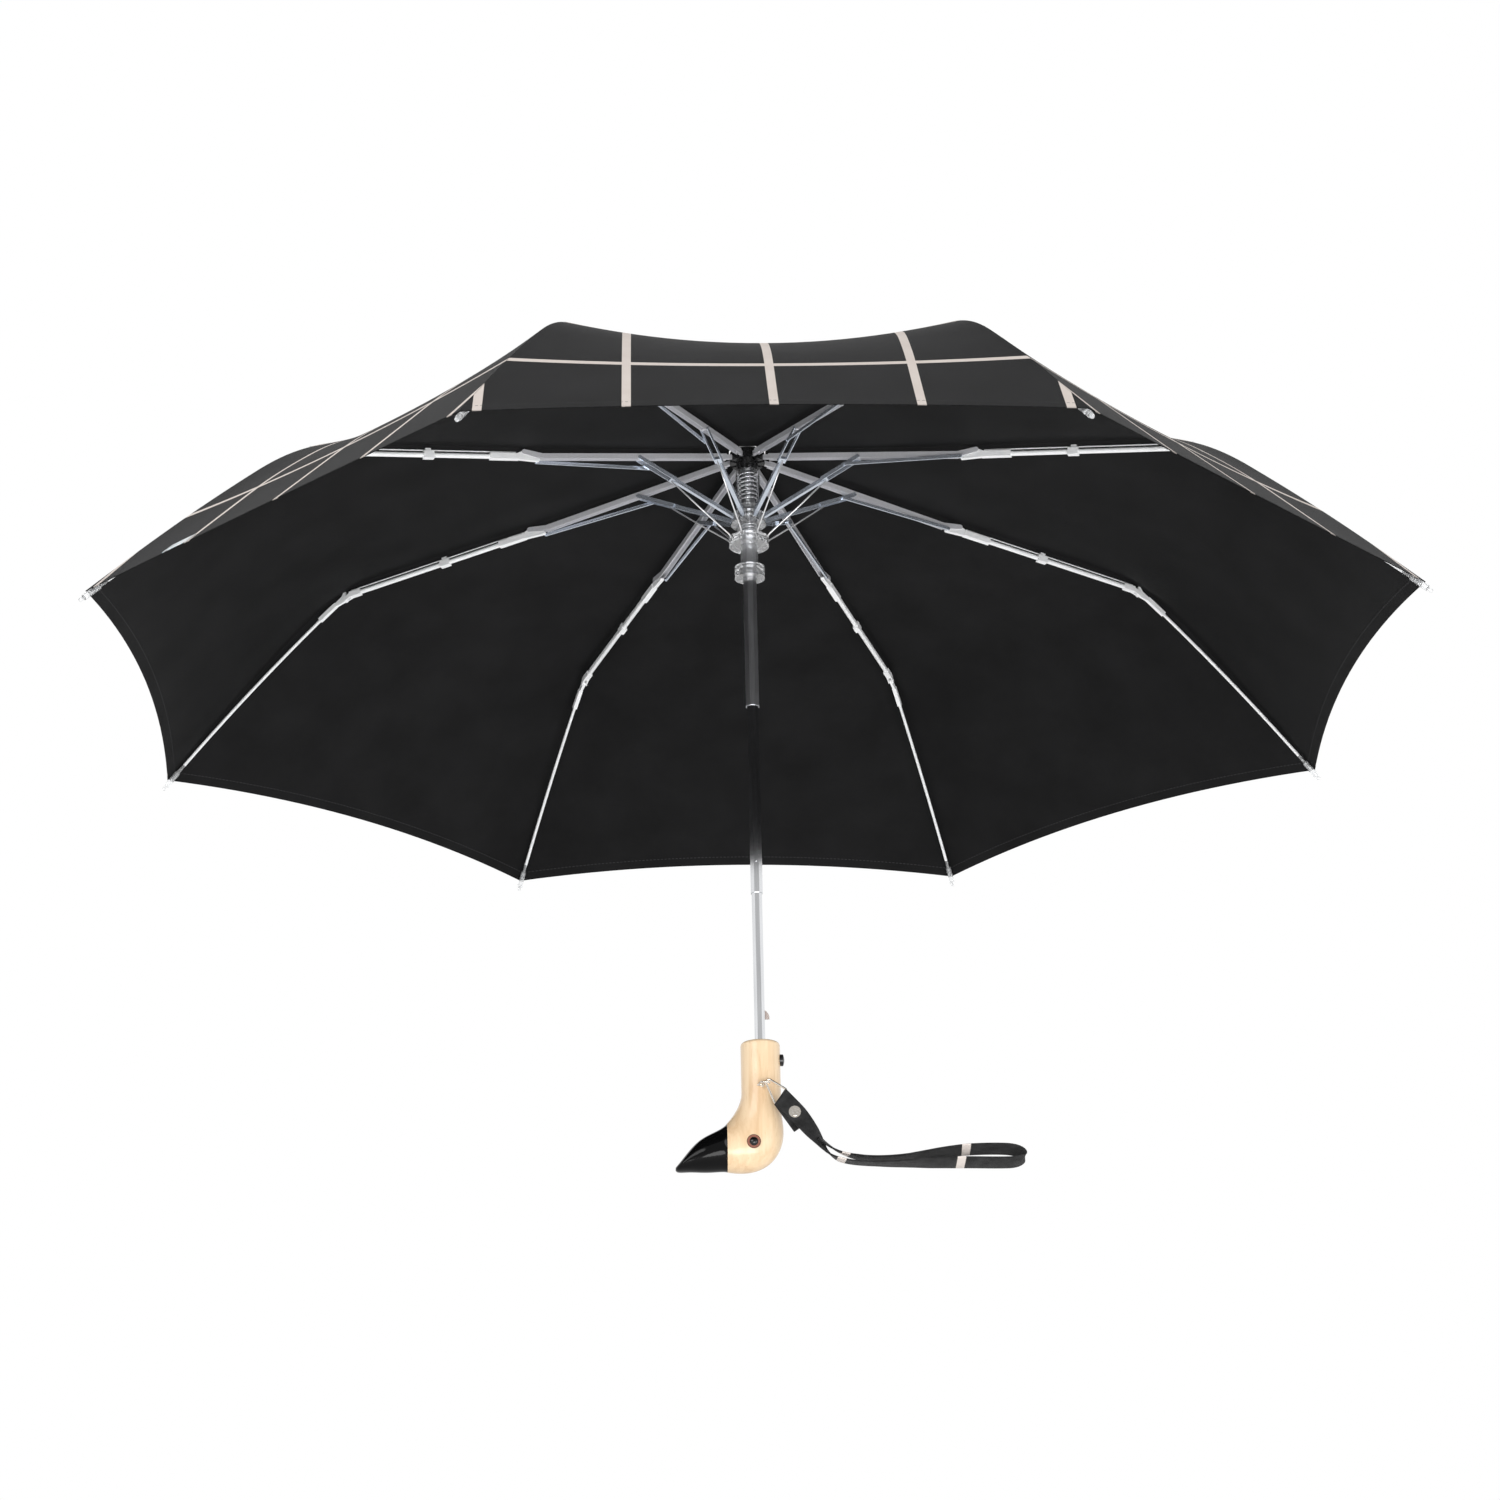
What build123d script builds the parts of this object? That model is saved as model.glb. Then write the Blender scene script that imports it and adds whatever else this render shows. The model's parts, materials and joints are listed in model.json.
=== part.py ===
from build123d import *
from math import asin, atan2, cos, degrees, hypot, radians, sin, sqrt, tan
import os

# Automatic three-fold umbrella with eight ribs, open, handle down.
# Millimetres, +Z up the shaft, origin under the duck-head handle on the shaft's axis.
# Every rib lies in one radial plane. In it, points are (r, z): r outward from the shaft.

# ---- driving dimensions ----
RIBS = 8
RIB_AZIMUTH = 360 / RIBS / 2      # the first rib's angle from +X
GORE_ANGLE = 360 / RIBS

HANDLE_TOP = 93
NECK_R = 13.9
NECK_FOOT = 56                    # the neck is a true cylinder above this
BEAK_JOINT_X = -24.5

CROWN_Z = 547.3                   # the wire ring that the main ribs turn on
PIVOT_R = 10.5                    # that ring's radius, and the runner ring's
MAIN_SLOPE = -10.1                # degrees from level, outward
MAIN_LENGTH = 171
MIDDLE_SLOPE = -8.9
MIDDLE_LENGTH = 162
HEM_R = 490                       # the canopy's corners
HEM_Z = 359.6
TIP_SAGITTA = 3                   # how far the tip rib bows out of its chord

A_ALONG = 79.4                    # stretcher's pivot on the main rib
A_DROP = -1.2
RUNNER_DROP = 50.1                # runner pivots below the crown's when open
TIE_START = 11.5                  # tie bar's pivot on the stretcher, from its outer end
HINGE_RISE = 3.5                  # inner elbow's pivot above both ribs' centre lines
TIE_LEVER = (-10.4, -6.0)         # tie bar's outer end from the inner elbow's pivot
ELBOW_DROP = 2.6                  # outer elbow's pivot below both ribs' centre lines

CHANNEL_W = 4.4                   # main rib's channel
CHANNEL_H = 4.2
SHEET = 0.5                       # sheet metal of the ribs
EYE_R = 1.7
PIN_R = 0.6
PIN_HOLE_R = 0.65
RING_HOLE_R = 0.72                # wider, as the crown and runner rings are curved
CHEEK_IN = 2.45                   # the stretcher's fork straddles the main rib
CHEEK_OUT = 2.95
FORK_LENGTH = 28
BAR_IN = 3.15                     # the tie bar runs beside the fork
BAR_OUT = 4.15
MIDDLE_ROD_R = 1.8
TIP_ROD_R = 1.2
WIRE_R = 0.45
WIRE_RISE = 3.6                   # folding wire above the middle rib

TUBE_FLATS = {"top": 9.6, "middle": 8.5, "lower": 7.4}    # octagons across flats
TUBE_BORES = {"top": 8.7, "middle": 7.6, "lower": 6.2}
TOP_TUBE_FOOT = 347
MIDDLE_TUBE_FOOT = 203.4
TUBE_OVERLAP = 25
LOWER_TUBE_FOOT = 30              # bottom of the bore in the handle
RUNNER_BORE_R = 5.35

CANOPY_T = 0.4
BUTTON_Z = 80.3
LATCH_Z = 110.3
STAPLE = (-1.5, -14.0, 59.5)      # where the screw eye enters the neck
STRAP_W = 13
STRAP_T = 1.4


# ---- radial plane geometry ----
def along(start, slope, distance, rise=0):
    """The point that lies `distance` along a line and `rise` square to it, on its upper side."""
    a = radians(slope)
    return start[0] + distance * cos(a) - rise * sin(a), start[1] + distance * sin(a) + rise * cos(a)


def slope_of(p, q):
    return degrees(atan2(q[1] - p[1], q[0] - p[0]))


def distance_of(p, q):
    return hypot(q[0] - p[0], q[1] - p[1])


CROWN_PIN = (PIVOT_R, CROWN_Z)
PIN_A = along(CROWN_PIN, MAIN_SLOPE, A_ALONG, A_DROP)
PIN_B = along(CROWN_PIN, MAIN_SLOPE, MAIN_LENGTH, HINGE_RISE)
MIDDLE_FOOT = along(PIN_B, MIDDLE_SLOPE, 0, -HINGE_RISE)
PIN_C = along(MIDDLE_FOOT, MIDDLE_SLOPE, MIDDLE_LENGTH, -ELBOW_DROP)
HEM = (HEM_R, HEM_Z)
RUNNER_PIN = (PIVOT_R, CROWN_Z - RUNNER_DROP)
STRETCHER_SLOPE = slope_of(RUNNER_PIN, PIN_A)
STRETCHER_LENGTH = distance_of(RUNNER_PIN, PIN_A)
TIE_PIN = along(RUNNER_PIN, STRETCHER_SLOPE, STRETCHER_LENGTH - TIE_START)
TIE_END = along(PIN_B, MAIN_SLOPE, *TIE_LEVER)
TIE_SLOPE = slope_of(TIE_PIN, TIE_END)
TIE_LENGTH = distance_of(TIE_PIN, TIE_END)

# The tip rib's rod is an arc from beside the outer elbow's pivot to the hem.
TIP_CHORD = distance_of(PIN_C, HEM)
TIP_ARC_R = TIP_CHORD**2 / 8 / TIP_SAGITTA
TIP_HALF_TURN = degrees(asin(TIP_CHORD / 2 / TIP_ARC_R))
TIP_SLOPE = slope_of(PIN_C, HEM) + TIP_HALF_TURN - degrees(asin(ELBOW_DROP / TIP_CHORD))
TIP_FOOT = along(PIN_C, TIP_SLOPE, 0, ELBOW_DROP)


def member_plane(point, slope):
    """A plane whose x runs along a rib, whose y is square to it and whose z is sideways."""
    a = radians(slope)
    return Plane(origin=(point[0], 0, point[1]), x_dir=(cos(a), 0, sin(a)), z_dir=(0, -1, 0))


def around(solids, index):
    """Solids made in the plane of azimuth 0, turned to one rib's place."""
    turn = Rot(0, 0, RIB_AZIMUTH + GORE_ANGLE * index)
    return [turn * solid for solid in solids]


# ---- small builders, in a rib's own x, y, z ----
def block(x0, x1, y0, y1, z0, z1):
    return Pos((x0 + x1) / 2, (y0 + y1) / 2, (z0 + z1) / 2) * Box(x1 - x0, y1 - y0, z1 - z0)


def disc(x, y, radius, z0, z1):
    return Pos(x, y, (z0 + z1) / 2) * Cylinder(radius, z1 - z0)


def rod(x0, x1, y, radius):
    return Pos((x0 + x1) / 2, y, 0) * Rot(0, 90, 0) * Cylinder(radius, x1 - x0)


def plate(points, z0, z1):
    face = make_face(Polyline(*points, close=True).edges())
    return Pos(0, 0, z0) * extrude(face, z1 - z0)


def tube(outer_r, inner_r, z0, z1):
    return Pos(0, 0, (z0 + z1) / 2) * (Cylinder(outer_r, z1 - z0) - Cylinder(inner_r, z1 - z0))


def octagon_tube(flats, bore, z0, z1):
    turn = 180 / RIBS
    outer = RegularPolygon(flats / 2, 8, major_radius=False, rotation=turn)
    inner = RegularPolygon(bore / 2, 8, major_radius=False, rotation=turn)
    return Pos(0, 0, z0) * extrude(outer - inner, z1 - z0)


def coil(radius, wire_r, z0, z1, pitch):
    path = Helix(pitch, z1 - z0 - 2 * wire_r, radius)
    wire = Plane(origin=path @ 0, z_dir=path % 0) * Circle(wire_r)
    return Pos(0, 0, z0 + wire_r) * sweep(wire, path=path, is_frenet=True)


# ---- ribs ----
def main_rib():
    half = CHANNEL_W / 2
    foot, end = 7, MAIN_LENGTH - 13
    body = block(foot, end, -CHANNEL_H / 2, CHANNEL_H / 2, -half, half)
    body -= block(foot - 1, end + 1, -CHANNEL_H, CHANNEL_H / 2 - SHEET, SHEET - half, half - SHEET)
    body += block(0, foot + 4, -EYE_R, EYE_R, -1.2, 1.2) + disc(0, 0, EYE_R, -1.2, 1.2)
    ear = [(end - 8, -1.2), (end + 4, -1.2), (MAIN_LENGTH + 1.2, 2.05),
           (MAIN_LENGTH - 0.8, HINGE_RISE + 1.7), (end - 1, CHANNEL_H / 2), (end - 8, CHANNEL_H / 2)]
    for low, high in ((half - SHEET, half), (-half, SHEET - half)):
        body += plate(ear, low, high) + disc(MAIN_LENGTH, HINGE_RISE, 1.9, low, high)
    body += disc(MAIN_LENGTH, HINGE_RISE, PIN_R, -half, half)
    body += disc(A_ALONG, A_DROP, PIN_R, -half, half)
    body -= disc(0, 0, RING_HOLE_R, -3, 3)
    return [member_plane(CROWN_PIN, MAIN_SLOPE).location * body]


def stretcher():
    length, half_h, half_w = STRETCHER_LENGTH, 1.5, 1.5
    web = length - FORK_LENGTH
    body = block(3, web, -half_h, half_h, -half_w, half_w)
    body -= block(8, web - 6, SHEET - half_h, half_h + 1, SHEET - half_w, half_w - SHEET)
    body += block(0, 4, -half_h, half_h, -1.2, 1.2) + disc(0, 0, EYE_R, -1.2, 1.2)
    body += block(web - 4, web, -half_h, half_h, -CHEEK_OUT, CHEEK_OUT)
    for low, high in ((CHEEK_IN, CHEEK_OUT), (-CHEEK_OUT, -CHEEK_IN)):
        body += block(web - 4, length, -half_h, half_h, low, high)
        body += disc(length, 0, half_h, low, high)
    body += disc(length - TIE_START, 0, PIN_R, CHEEK_IN, BAR_OUT + 0.3)
    body -= disc(0, 0, RING_HOLE_R, -3, 3)
    return [member_plane(RUNNER_PIN, STRETCHER_SLOPE).location * body]


def tie_bar():
    half_h = 1.2
    body = block(0, TIE_LENGTH, -half_h, half_h, BAR_IN, BAR_OUT)
    body += disc(0, 0, half_h, BAR_IN, BAR_OUT) + disc(TIE_LENGTH, 0, half_h, BAR_IN, BAR_OUT)
    body += disc(TIE_LENGTH, 0, PIN_R, CHEEK_IN, BAR_OUT)
    body -= disc(0, 0, PIN_HOLE_R, BAR_IN - 1, BAR_OUT + 1)
    return [member_plane(TIE_PIN, TIE_SLOPE).location * body]


def middle_rib():
    clip_at, fitting_end, elbow = 74, 27, MIDDLE_LENGTH
    lean = radians(MAIN_SLOPE - MIDDLE_SLOPE)
    lever = (TIE_LEVER[0] * cos(lean) - TIE_LEVER[1] * sin(lean),
             HINGE_RISE + TIE_LEVER[0] * sin(lean) + TIE_LEVER[1] * cos(lean))
    crank = [(-1.5, HINGE_RISE), (lever[0] - 1.1, lever[1] + 0.4), (lever[0], lever[1] - 1.2),
             (7, -2), (7, 2), (1.4, HINGE_RISE + 0.8)]
    inner = plate(crank, -1.45, 1.45) + disc(0, HINGE_RISE, EYE_R, -1.45, 1.45)
    inner += disc(lever[0], lever[1], 1.2, -1.45, 1.45)
    inner += block(4.5, fitting_end, -2.2, 2.2, -2.2, 2.2)
    inner -= disc(0, HINGE_RISE, PIN_HOLE_R, -3, 3)
    shaft = rod(fitting_end, elbow - 14, 0, MIDDLE_ROD_R)
    clip = block(clip_at - 4, clip_at + 4, -2.6, 2.6, -2.3, 2.3) - rod(0, elbow, 0, MIDDLE_ROD_R)
    clip += block(clip_at - 2, clip_at + 2, 2.4, WIRE_RISE + 1.4, -1.2, 1.2)
    wire = rod(6, elbow - 6, WIRE_RISE, WIRE_R)
    clip -= rod(0, elbow, WIRE_RISE, WIRE_R)
    outer = block(elbow - 14, elbow - 4.6, -2.2, 2.2, -2.2, 2.2)
    for low, high in ((1.3, 2.2), (-2.2, -1.3)):
        outer += plate([(elbow - 6, 2.2), (elbow - 6, -2.2), (elbow - 1.5, -ELBOW_DROP - 0.8),
                        (elbow + 1.6, -ELBOW_DROP)], low, high)
        outer += disc(elbow, -ELBOW_DROP, EYE_R, low, high)
    outer += disc(elbow, -ELBOW_DROP, PIN_R, -2.2, 2.2)
    place = member_plane(MIDDLE_FOOT, MIDDLE_SLOPE).location
    return [place * solid for solid in (inner, shaft, clip, wire, outer)]


def tip_rib():
    place = member_plane(TIP_FOOT, TIP_SLOPE).location
    lean = radians(MIDDLE_SLOPE - TIP_SLOPE)
    reach = WIRE_RISE + ELBOW_DROP
    lever = (-reach * sin(lean), -ELBOW_DROP + reach * cos(lean))
    fitting = plate([(0.4, -ELBOW_DROP - 1.5), (10, -1.4), (10, 1.4), (1, 1.4),
                     (lever[0] + 1, lever[1]), (lever[0] - 1, lever[1]), (-1.5, -ELBOW_DROP)], -1.05, 1.05)
    fitting += disc(0, -ELBOW_DROP, 1.5, -1.05, 1.05) + disc(lever[0], lever[1], 1, -1.05, 1.05)
    fitting += block(8, 26, -1.7, 1.7, -1.6, 1.6)
    fitting -= disc(0, -ELBOW_DROP, PIN_HOLE_R, -3, 3)

    def on_arc(distance):
        a = distance / TIP_ARC_R
        return TIP_ARC_R * sin(a), -TIP_ARC_R * (1 - cos(a))

    length = radians(2 * TIP_HALF_TURN) * TIP_ARC_R
    start, end = on_arc(26), on_arc(length - 2)
    centre_line = ThreePointArc(start, on_arc(length / 2), end)
    round_end = Plane(origin=(*start, 0), z_dir=centre_line % 0) * Circle(TIP_ROD_R)
    wire = sweep(round_end, path=centre_line)
    cap_at = length - 10
    point = on_arc(cap_at)
    cap_slope = -degrees(cap_at / TIP_ARC_R)
    cap = rod(0, 14, 0, 2.1) - rod(-1, 8.2, 0, TIP_ROD_R + 0.05)
    cap += Pos(16.6, 0, 0) * Sphere(1.6) + rod(13, 17, 0, 0.7)
    cap = Pos(point[0], point[1], 0) * Rot(0, 0, cap_slope) * cap
    return [place * solid for solid in (fitting, wire, cap)]


# ---- crown, runner and their springs ----
def slots(radius_from, width, z0, z1):
    cutter = block(radius_from, 20, -width / 2, width / 2, z0, z1)
    return [Rot(0, 0, RIB_AZIMUTH + GORE_ANGLE * k) * cutter for k in range(RIBS)]


def pivot_ring(z):
    return Pos(0, 0, z) * Torus(PIVOT_R, PIN_R)


def crown():
    body = tube(13.2, 6.6, CROWN_Z - 4, CROWN_Z + 4.5)
    for slot in slots(7.9, 2.9, CROWN_Z - 5, CROWN_Z + 2.6):
        body -= slot
    body += tube(8.2, TUBE_FLATS["top"] / 2 + 0.4, CROWN_Z - 10, CROWN_Z - 3.9)
    body += tube(7, TUBE_FLATS["top"] / 2 + 0.4, CROWN_Z - 4, CROWN_Z + 2)
    body += Pos(0, 0, CROWN_Z + 3.25) * Cylinder(8, 2.5)
    profile = [(0, 4.5), (5, 4.5), (5, 4.9), (9, 4.9), (9.2, 6.4), (7.6, 8.6), (5.6, 9.6),
               (4.6, 19), (3.4, 21.6), (0, 22.2)]
    outline = Plane.XZ * make_face(Polyline(*profile, close=True).edges())
    cap = Pos(0, 0, CROWN_Z) * revolve(outline, Axis.Z)
    return [body, pivot_ring(CROWN_Z), cap]


def runner():
    z = CROWN_Z - RUNNER_DROP
    body = tube(13.1, RUNNER_BORE_R, z - 4.5, z + 3.5)
    for slot in slots(7.4, 3.4, z - 2.6, z + 5):
        body -= slot
    body += tube(7.4, RUNNER_BORE_R, z + 3, z + 12)
    body += tube(9, RUNNER_BORE_R, z + 10.5, z + 12.5)
    body += tube(9, 8, z + 12, z + 37)
    teeth = 16
    for k in range(teeth):
        body += Rot(0, 0, 360 / teeth * k) * block(8, 9, -0.7, 0.7, z + 36.5, z + 38.6)
    return [body, pivot_ring(z)]


def runner_spring():
    z = CROWN_Z - RUNNER_DROP
    return [coil(6.9, 0.6, z + 12.5, z + 37, 3.4)]


def lower_ring():
    z = CROWN_Z - RUNNER_DROP - 18.4
    ring = tube(14.9, RUNNER_BORE_R, z - 3.5, z + 3.5)
    ring -= tube(20, 13.6, z - 0.8, z + 0.8)
    for slot in slots(12.2, 2.2, z - 0.5, z + 4):
        ring -= slot
    ring += tube(6.6, RUNNER_BORE_R, z - 20.6, z - 3.4)
    collar = tube(11.2, RUNNER_BORE_R, z - 29.6, z - 20.6)
    for step in (-22.6, -26.2):
        collar -= tube(12, 10.3, z + step - 1.4, z + step)
    return [ring, collar]


def lower_spring():
    z = CROWN_Z - RUNNER_DROP
    return [coil(6.2, 0.5, z - 14.9, z - 4.5, 2.6)]


BRACE_ALONG = 56                  # where the wires meet the stretchers
BRACE_FOOT = (13.8, CROWN_Z - RUNNER_DROP - 17)


def brace_wires():
    top = along(RUNNER_PIN, STRETCHER_SLOPE, BRACE_ALONG, -2.3)
    slope, length = slope_of(BRACE_FOOT, top), distance_of(BRACE_FOOT, top)
    wire = member_plane(BRACE_FOOT, slope).location * rod(0, length, 0, 0.5)
    return [around([wire], k)[0] for k in range(RIBS)]


# ---- shaft ----
def top_tube():
    return [octagon_tube(TUBE_FLATS["top"], TUBE_BORES["top"], TOP_TUBE_FOOT, CROWN_Z + 2)]


def middle_tube():
    body = octagon_tube(TUBE_FLATS["middle"], TUBE_BORES["middle"], MIDDLE_TUBE_FOOT,
                        TOP_TUBE_FOOT + TUBE_OVERLAP)
    window_top = MIDDLE_TUBE_FOOT + 22
    slot = block(-1.3, 1.3, -6, -2, MIDDLE_TUBE_FOOT + 4, window_top)
    slot += Pos(0, -4, window_top) * Rot(90, 0, 0) * Cylinder(1.3, 4)
    stop = tube(TUBE_BORES["middle"] / 2 - 0.05, 2.2, TOP_TUBE_FOOT + TUBE_OVERLAP - 3,
                TOP_TUBE_FOOT + TUBE_OVERLAP)
    return [body - slot, stop]


def drive_spring():
    return [coil(3.0, 0.5, MIDDLE_TUBE_FOOT + TUBE_OVERLAP + 1, TOP_TUBE_FOOT + TUBE_OVERLAP - 3.5, 5)]


def lower_tube():
    body = octagon_tube(TUBE_FLATS["lower"], TUBE_BORES["lower"], LOWER_TUBE_FOOT,
                        MIDDLE_TUBE_FOOT + TUBE_OVERLAP)
    body -= block(0, 6, -1.1, 1.1, LATCH_Z - 0.5, LATCH_Z + 7.7)
    body -= Pos(4, 0, BUTTON_Z) * Rot(0, 90, 0) * Cylinder(1.3, 4)
    return [body]


def shaft_latch():
    leaf = block(1.6, 2.4, -0.8, 0.8, BUTTON_Z - 5, LATCH_Z + 6.5)
    hook = Plane.XZ * make_face([
        Line((2.2, LATCH_Z), (7, LATCH_Z)),
        Line((7, LATCH_Z), (7, LATCH_Z + 1.2)),
        ThreePointArc((7, LATCH_Z + 1.2), (5.7, LATCH_Z + 4.6), (2.2, LATCH_Z + 7.2)),
        Line((2.2, LATCH_Z + 7.2), (2.2, LATCH_Z)),
    ])
    return [leaf + extrude(hook, 0.8, both=True)]


# ---- handle ----
def section(low, high, half_width):
    """An oval section of the handle between two points (x, z) of its side outline."""
    centre = ((low[0] + high[0]) / 2, (low[1] + high[1]) / 2)
    direction = (high[0] - low[0], 0, high[1] - low[1])
    plane = Plane(origin=(centre[0], 0, centre[1]), x_dir=direction,
                  z_dir=Vector(0, 1, 0).cross(Vector(*direction)))
    return plane * Ellipse(distance_of(low, high) / 2, half_width)


def handle():
    neck = Pos(0, 0, NECK_FOOT) * extrude(Circle(NECK_R), HANDLE_TOP - NECK_FOOT)
    neck = fillet(neck.edges().sort_by(Axis.Z)[-1], 2.6)
    head = loft([
        section((NECK_R, NECK_FOOT), (-NECK_R, NECK_FOOT), NECK_R),
        section((14.4, 38), (-15.0, 50.5), 14.1),
        section((14.3, 22), (-17.6, 44.6), 14.4),
        section((6.5, 7.6), (-20.6, 39.9), 14.9),
        section((-8.5, 0.4), (-22.9, 37), 14.9),
        section((BEAK_JOINT_X, 0.9), (BEAK_JOINT_X, 35.1), 14.4),
    ])
    body = neck + head
    body -= Pos(0, 0, -25) * Box(200, 200, 50)
    body -= Pos(0, 0, (LOWER_TUBE_FOOT + HANDLE_TOP) / 2 + 5) * Cylinder(4.1, HANDLE_TOP - LOWER_TUBE_FOOT + 10)
    body -= Pos(15, 0, BUTTON_Z) * Rot(0, 90, 0) * Cylinder(4.35, 11.6)
    body -= Pos(7, 0, BUTTON_Z) * Rot(0, 90, 0) * Cylinder(2.1, 8)
    for side in (-1, 1):
        body -= Pos(EYE[0], side * 16.4, EYE[1]) * Rot(90, 0, 0) * Cylinder(4.9, 7)
    body -= screw_shank()
    return [body]


EYE = (-6.3, 19.3)
EYE_FLOOR = 12.9


def eyes():
    solids = []
    for side in (-1, 1):
        place = Pos(EYE[0], side * EYE_FLOOR, EYE[1]) * Rot(-90 * side, 0, 0)
        ring = Pos(0, 0, 0.9) * (Cylinder(4.9, 1.8) - Cylinder(3, 1.8))
        pupil = Pos(0, 0, 0.9) * Cylinder(3, 1.8)
        pupil += Pos(0, 0, 1.8 - 2.7) * Sphere(sqrt(3**2 + 2.7**2)) & Pos(0, 0, 3) * Cylinder(3, 2.4)
        solids += [place * ring, place * pupil]
    return solids


def beak():
    return [loft([
        section((BEAK_JOINT_X, 0.9), (BEAK_JOINT_X, 35.1), 14.4),
        section((-36, 1.0), (-35.5, 28), 13.2),
        section((-46, 1.2), (-45.5, 21.8), 11.6),
        section((-54, 1.3), (-53.5, 13.0), 9.6),
        section((-59, 1.5), (-58.6, 6.6), 6.4),
        section((-60.6, 2.6), (-60.5, 4.6), 2.4),
    ])]


def push_button():
    stem = rod(6.9, 12.8, 0, 2)
    nose = rod(2.5, 7, 0, 1)
    cap = rod(12.6, 15.9, 0, 4.15)
    dome = Pos(6.6, 0, 0) * Sphere(10.2) & rod(15.8, 18, 0, 4.15)
    return [Pos(0, 0, BUTTON_Z) * (stem + nose + cap + dome)]


# ---- wrist strap ----
STAPLE_AIM = 53                   # how far the screw eye turns from +X towards -Y, in degrees
SHANK_R = 1.1
LOOP_R = 2.7                      # centre line of the screw eye's loop
LOOP_WIRE_R = 0.85
LOOP_AT = 6.4                     # loop's centre from the neck
RING_WIRE_R = 0.7
RING_BEND_R = 2.1                 # the ring's bend round the loop's wire


def aimed(distance):
    """A point on the screw eye's own line, outward from the neck's surface."""
    a = radians(-STAPLE_AIM)
    return STAPLE[0] + distance * cos(a), STAPLE[1] + distance * sin(a), STAPLE[2]


def screw_shank():
    direction = Vector(*aimed(1)) - Vector(*STAPLE)
    return Plane(origin=aimed(-6), z_dir=direction) * extrude(Circle(SHANK_R), 6 + LOOP_AT - LOOP_R)


def strap_staple():
    direction = Vector(*aimed(1)) - Vector(*STAPLE)
    loop = Pos(*aimed(LOOP_AT)) * Torus(LOOP_R, LOOP_WIRE_R)
    washer = Plane(origin=aimed(2), z_dir=direction) * extrude(Circle(2.2) - Circle(SHANK_R), 0.6)
    return [screw_shank() + loop, washer]


# The ring hangs in a plane of one y. Its bend is centred on the loop's wire there.
STRAP_Y = aimed(LOOP_AT)[1] - 0.8
BEND = (aimed(LOOP_AT)[0] + sqrt(LOOP_R**2 - 0.8**2), STAPLE[2])
BAR_TOP = (17.8, 53.8)
BAR_FOOT = (9.6, 42.0)


def ring_apex():
    """Where the ring's two long sides would meet, each passing the bend's circle on its far side."""
    lines = []
    for corner, side in ((BAR_FOOT, 1), (BAR_TOP, -1)):
        swing = degrees(asin(RING_BEND_R / distance_of(corner, BEND)))
        a = radians(slope_of(corner, BEND) + side * swing)
        lines.append((corner, (cos(a), sin(a))))
    (p, u), (q, v) = lines
    reach = ((q[0] - p[0]) * v[1] - (q[1] - p[1]) * v[0]) / (u[0] * v[1] - u[1] * v[0])
    return p[0] + reach * u[0], p[1] + reach * u[1]


def ring_wire(radius):
    corners = [(x, STRAP_Y, z) for x, z in (ring_apex(), BAR_TOP, BAR_FOOT)]
    path = FilletPolyline(*corners, radius=RING_BEND_R, close=True)
    section_plane = Plane(origin=path @ 0, z_dir=path % 0)
    return sweep(section_plane * Circle(radius), path=path)


def strap_ring():
    return [ring_wire(RING_WIRE_R)]


FOLD_R = 1.7                      # the webbing's fold round the ring's bar
FOLD_GAP = 0.15                   # between that fold and the ring's wire
STRAP_TURN = 4.0                  # the loop swings this far back from the ring's plane, in degrees
BAR_MIDDLE = along(BAR_FOOT, slope_of(BAR_FOOT, BAR_TOP), distance_of(BAR_FOOT, BAR_TOP) / 2)
# The webbing's own line from its foot below the ring, out along the lower pass and back along
# the upper one, as (x, z) in the ring's plane before it swings back.
STRAP_ROUTE = [
    (43.2, 8.6), (56, 3.4), (82, 2.9), (112, 3.1), (140, 2.9), (164, 2.6), (177, 3.0),
    (183.4, 7.2), (176, 12.0), (160, 12.6), (137, 11.6), (110, 9.4), (84, 8.4), (62, 9.0), (46, 13.6),
]


def corner_radii(points):
    """Each corner's arc takes 0.45 of the shorter of its two runs."""
    radii = []
    for a, b, c in zip(points, points[1:], points[2:]):
        turn = (Vector(*b) - Vector(*a)).get_angle(Vector(*c) - Vector(*b))
        shorter = min((Vector(*b) - Vector(*a)).length, (Vector(*c) - Vector(*b)).length)
        radii.append(0.45 * shorter / tan(radians(turn / 2)))
    return radii


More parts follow.
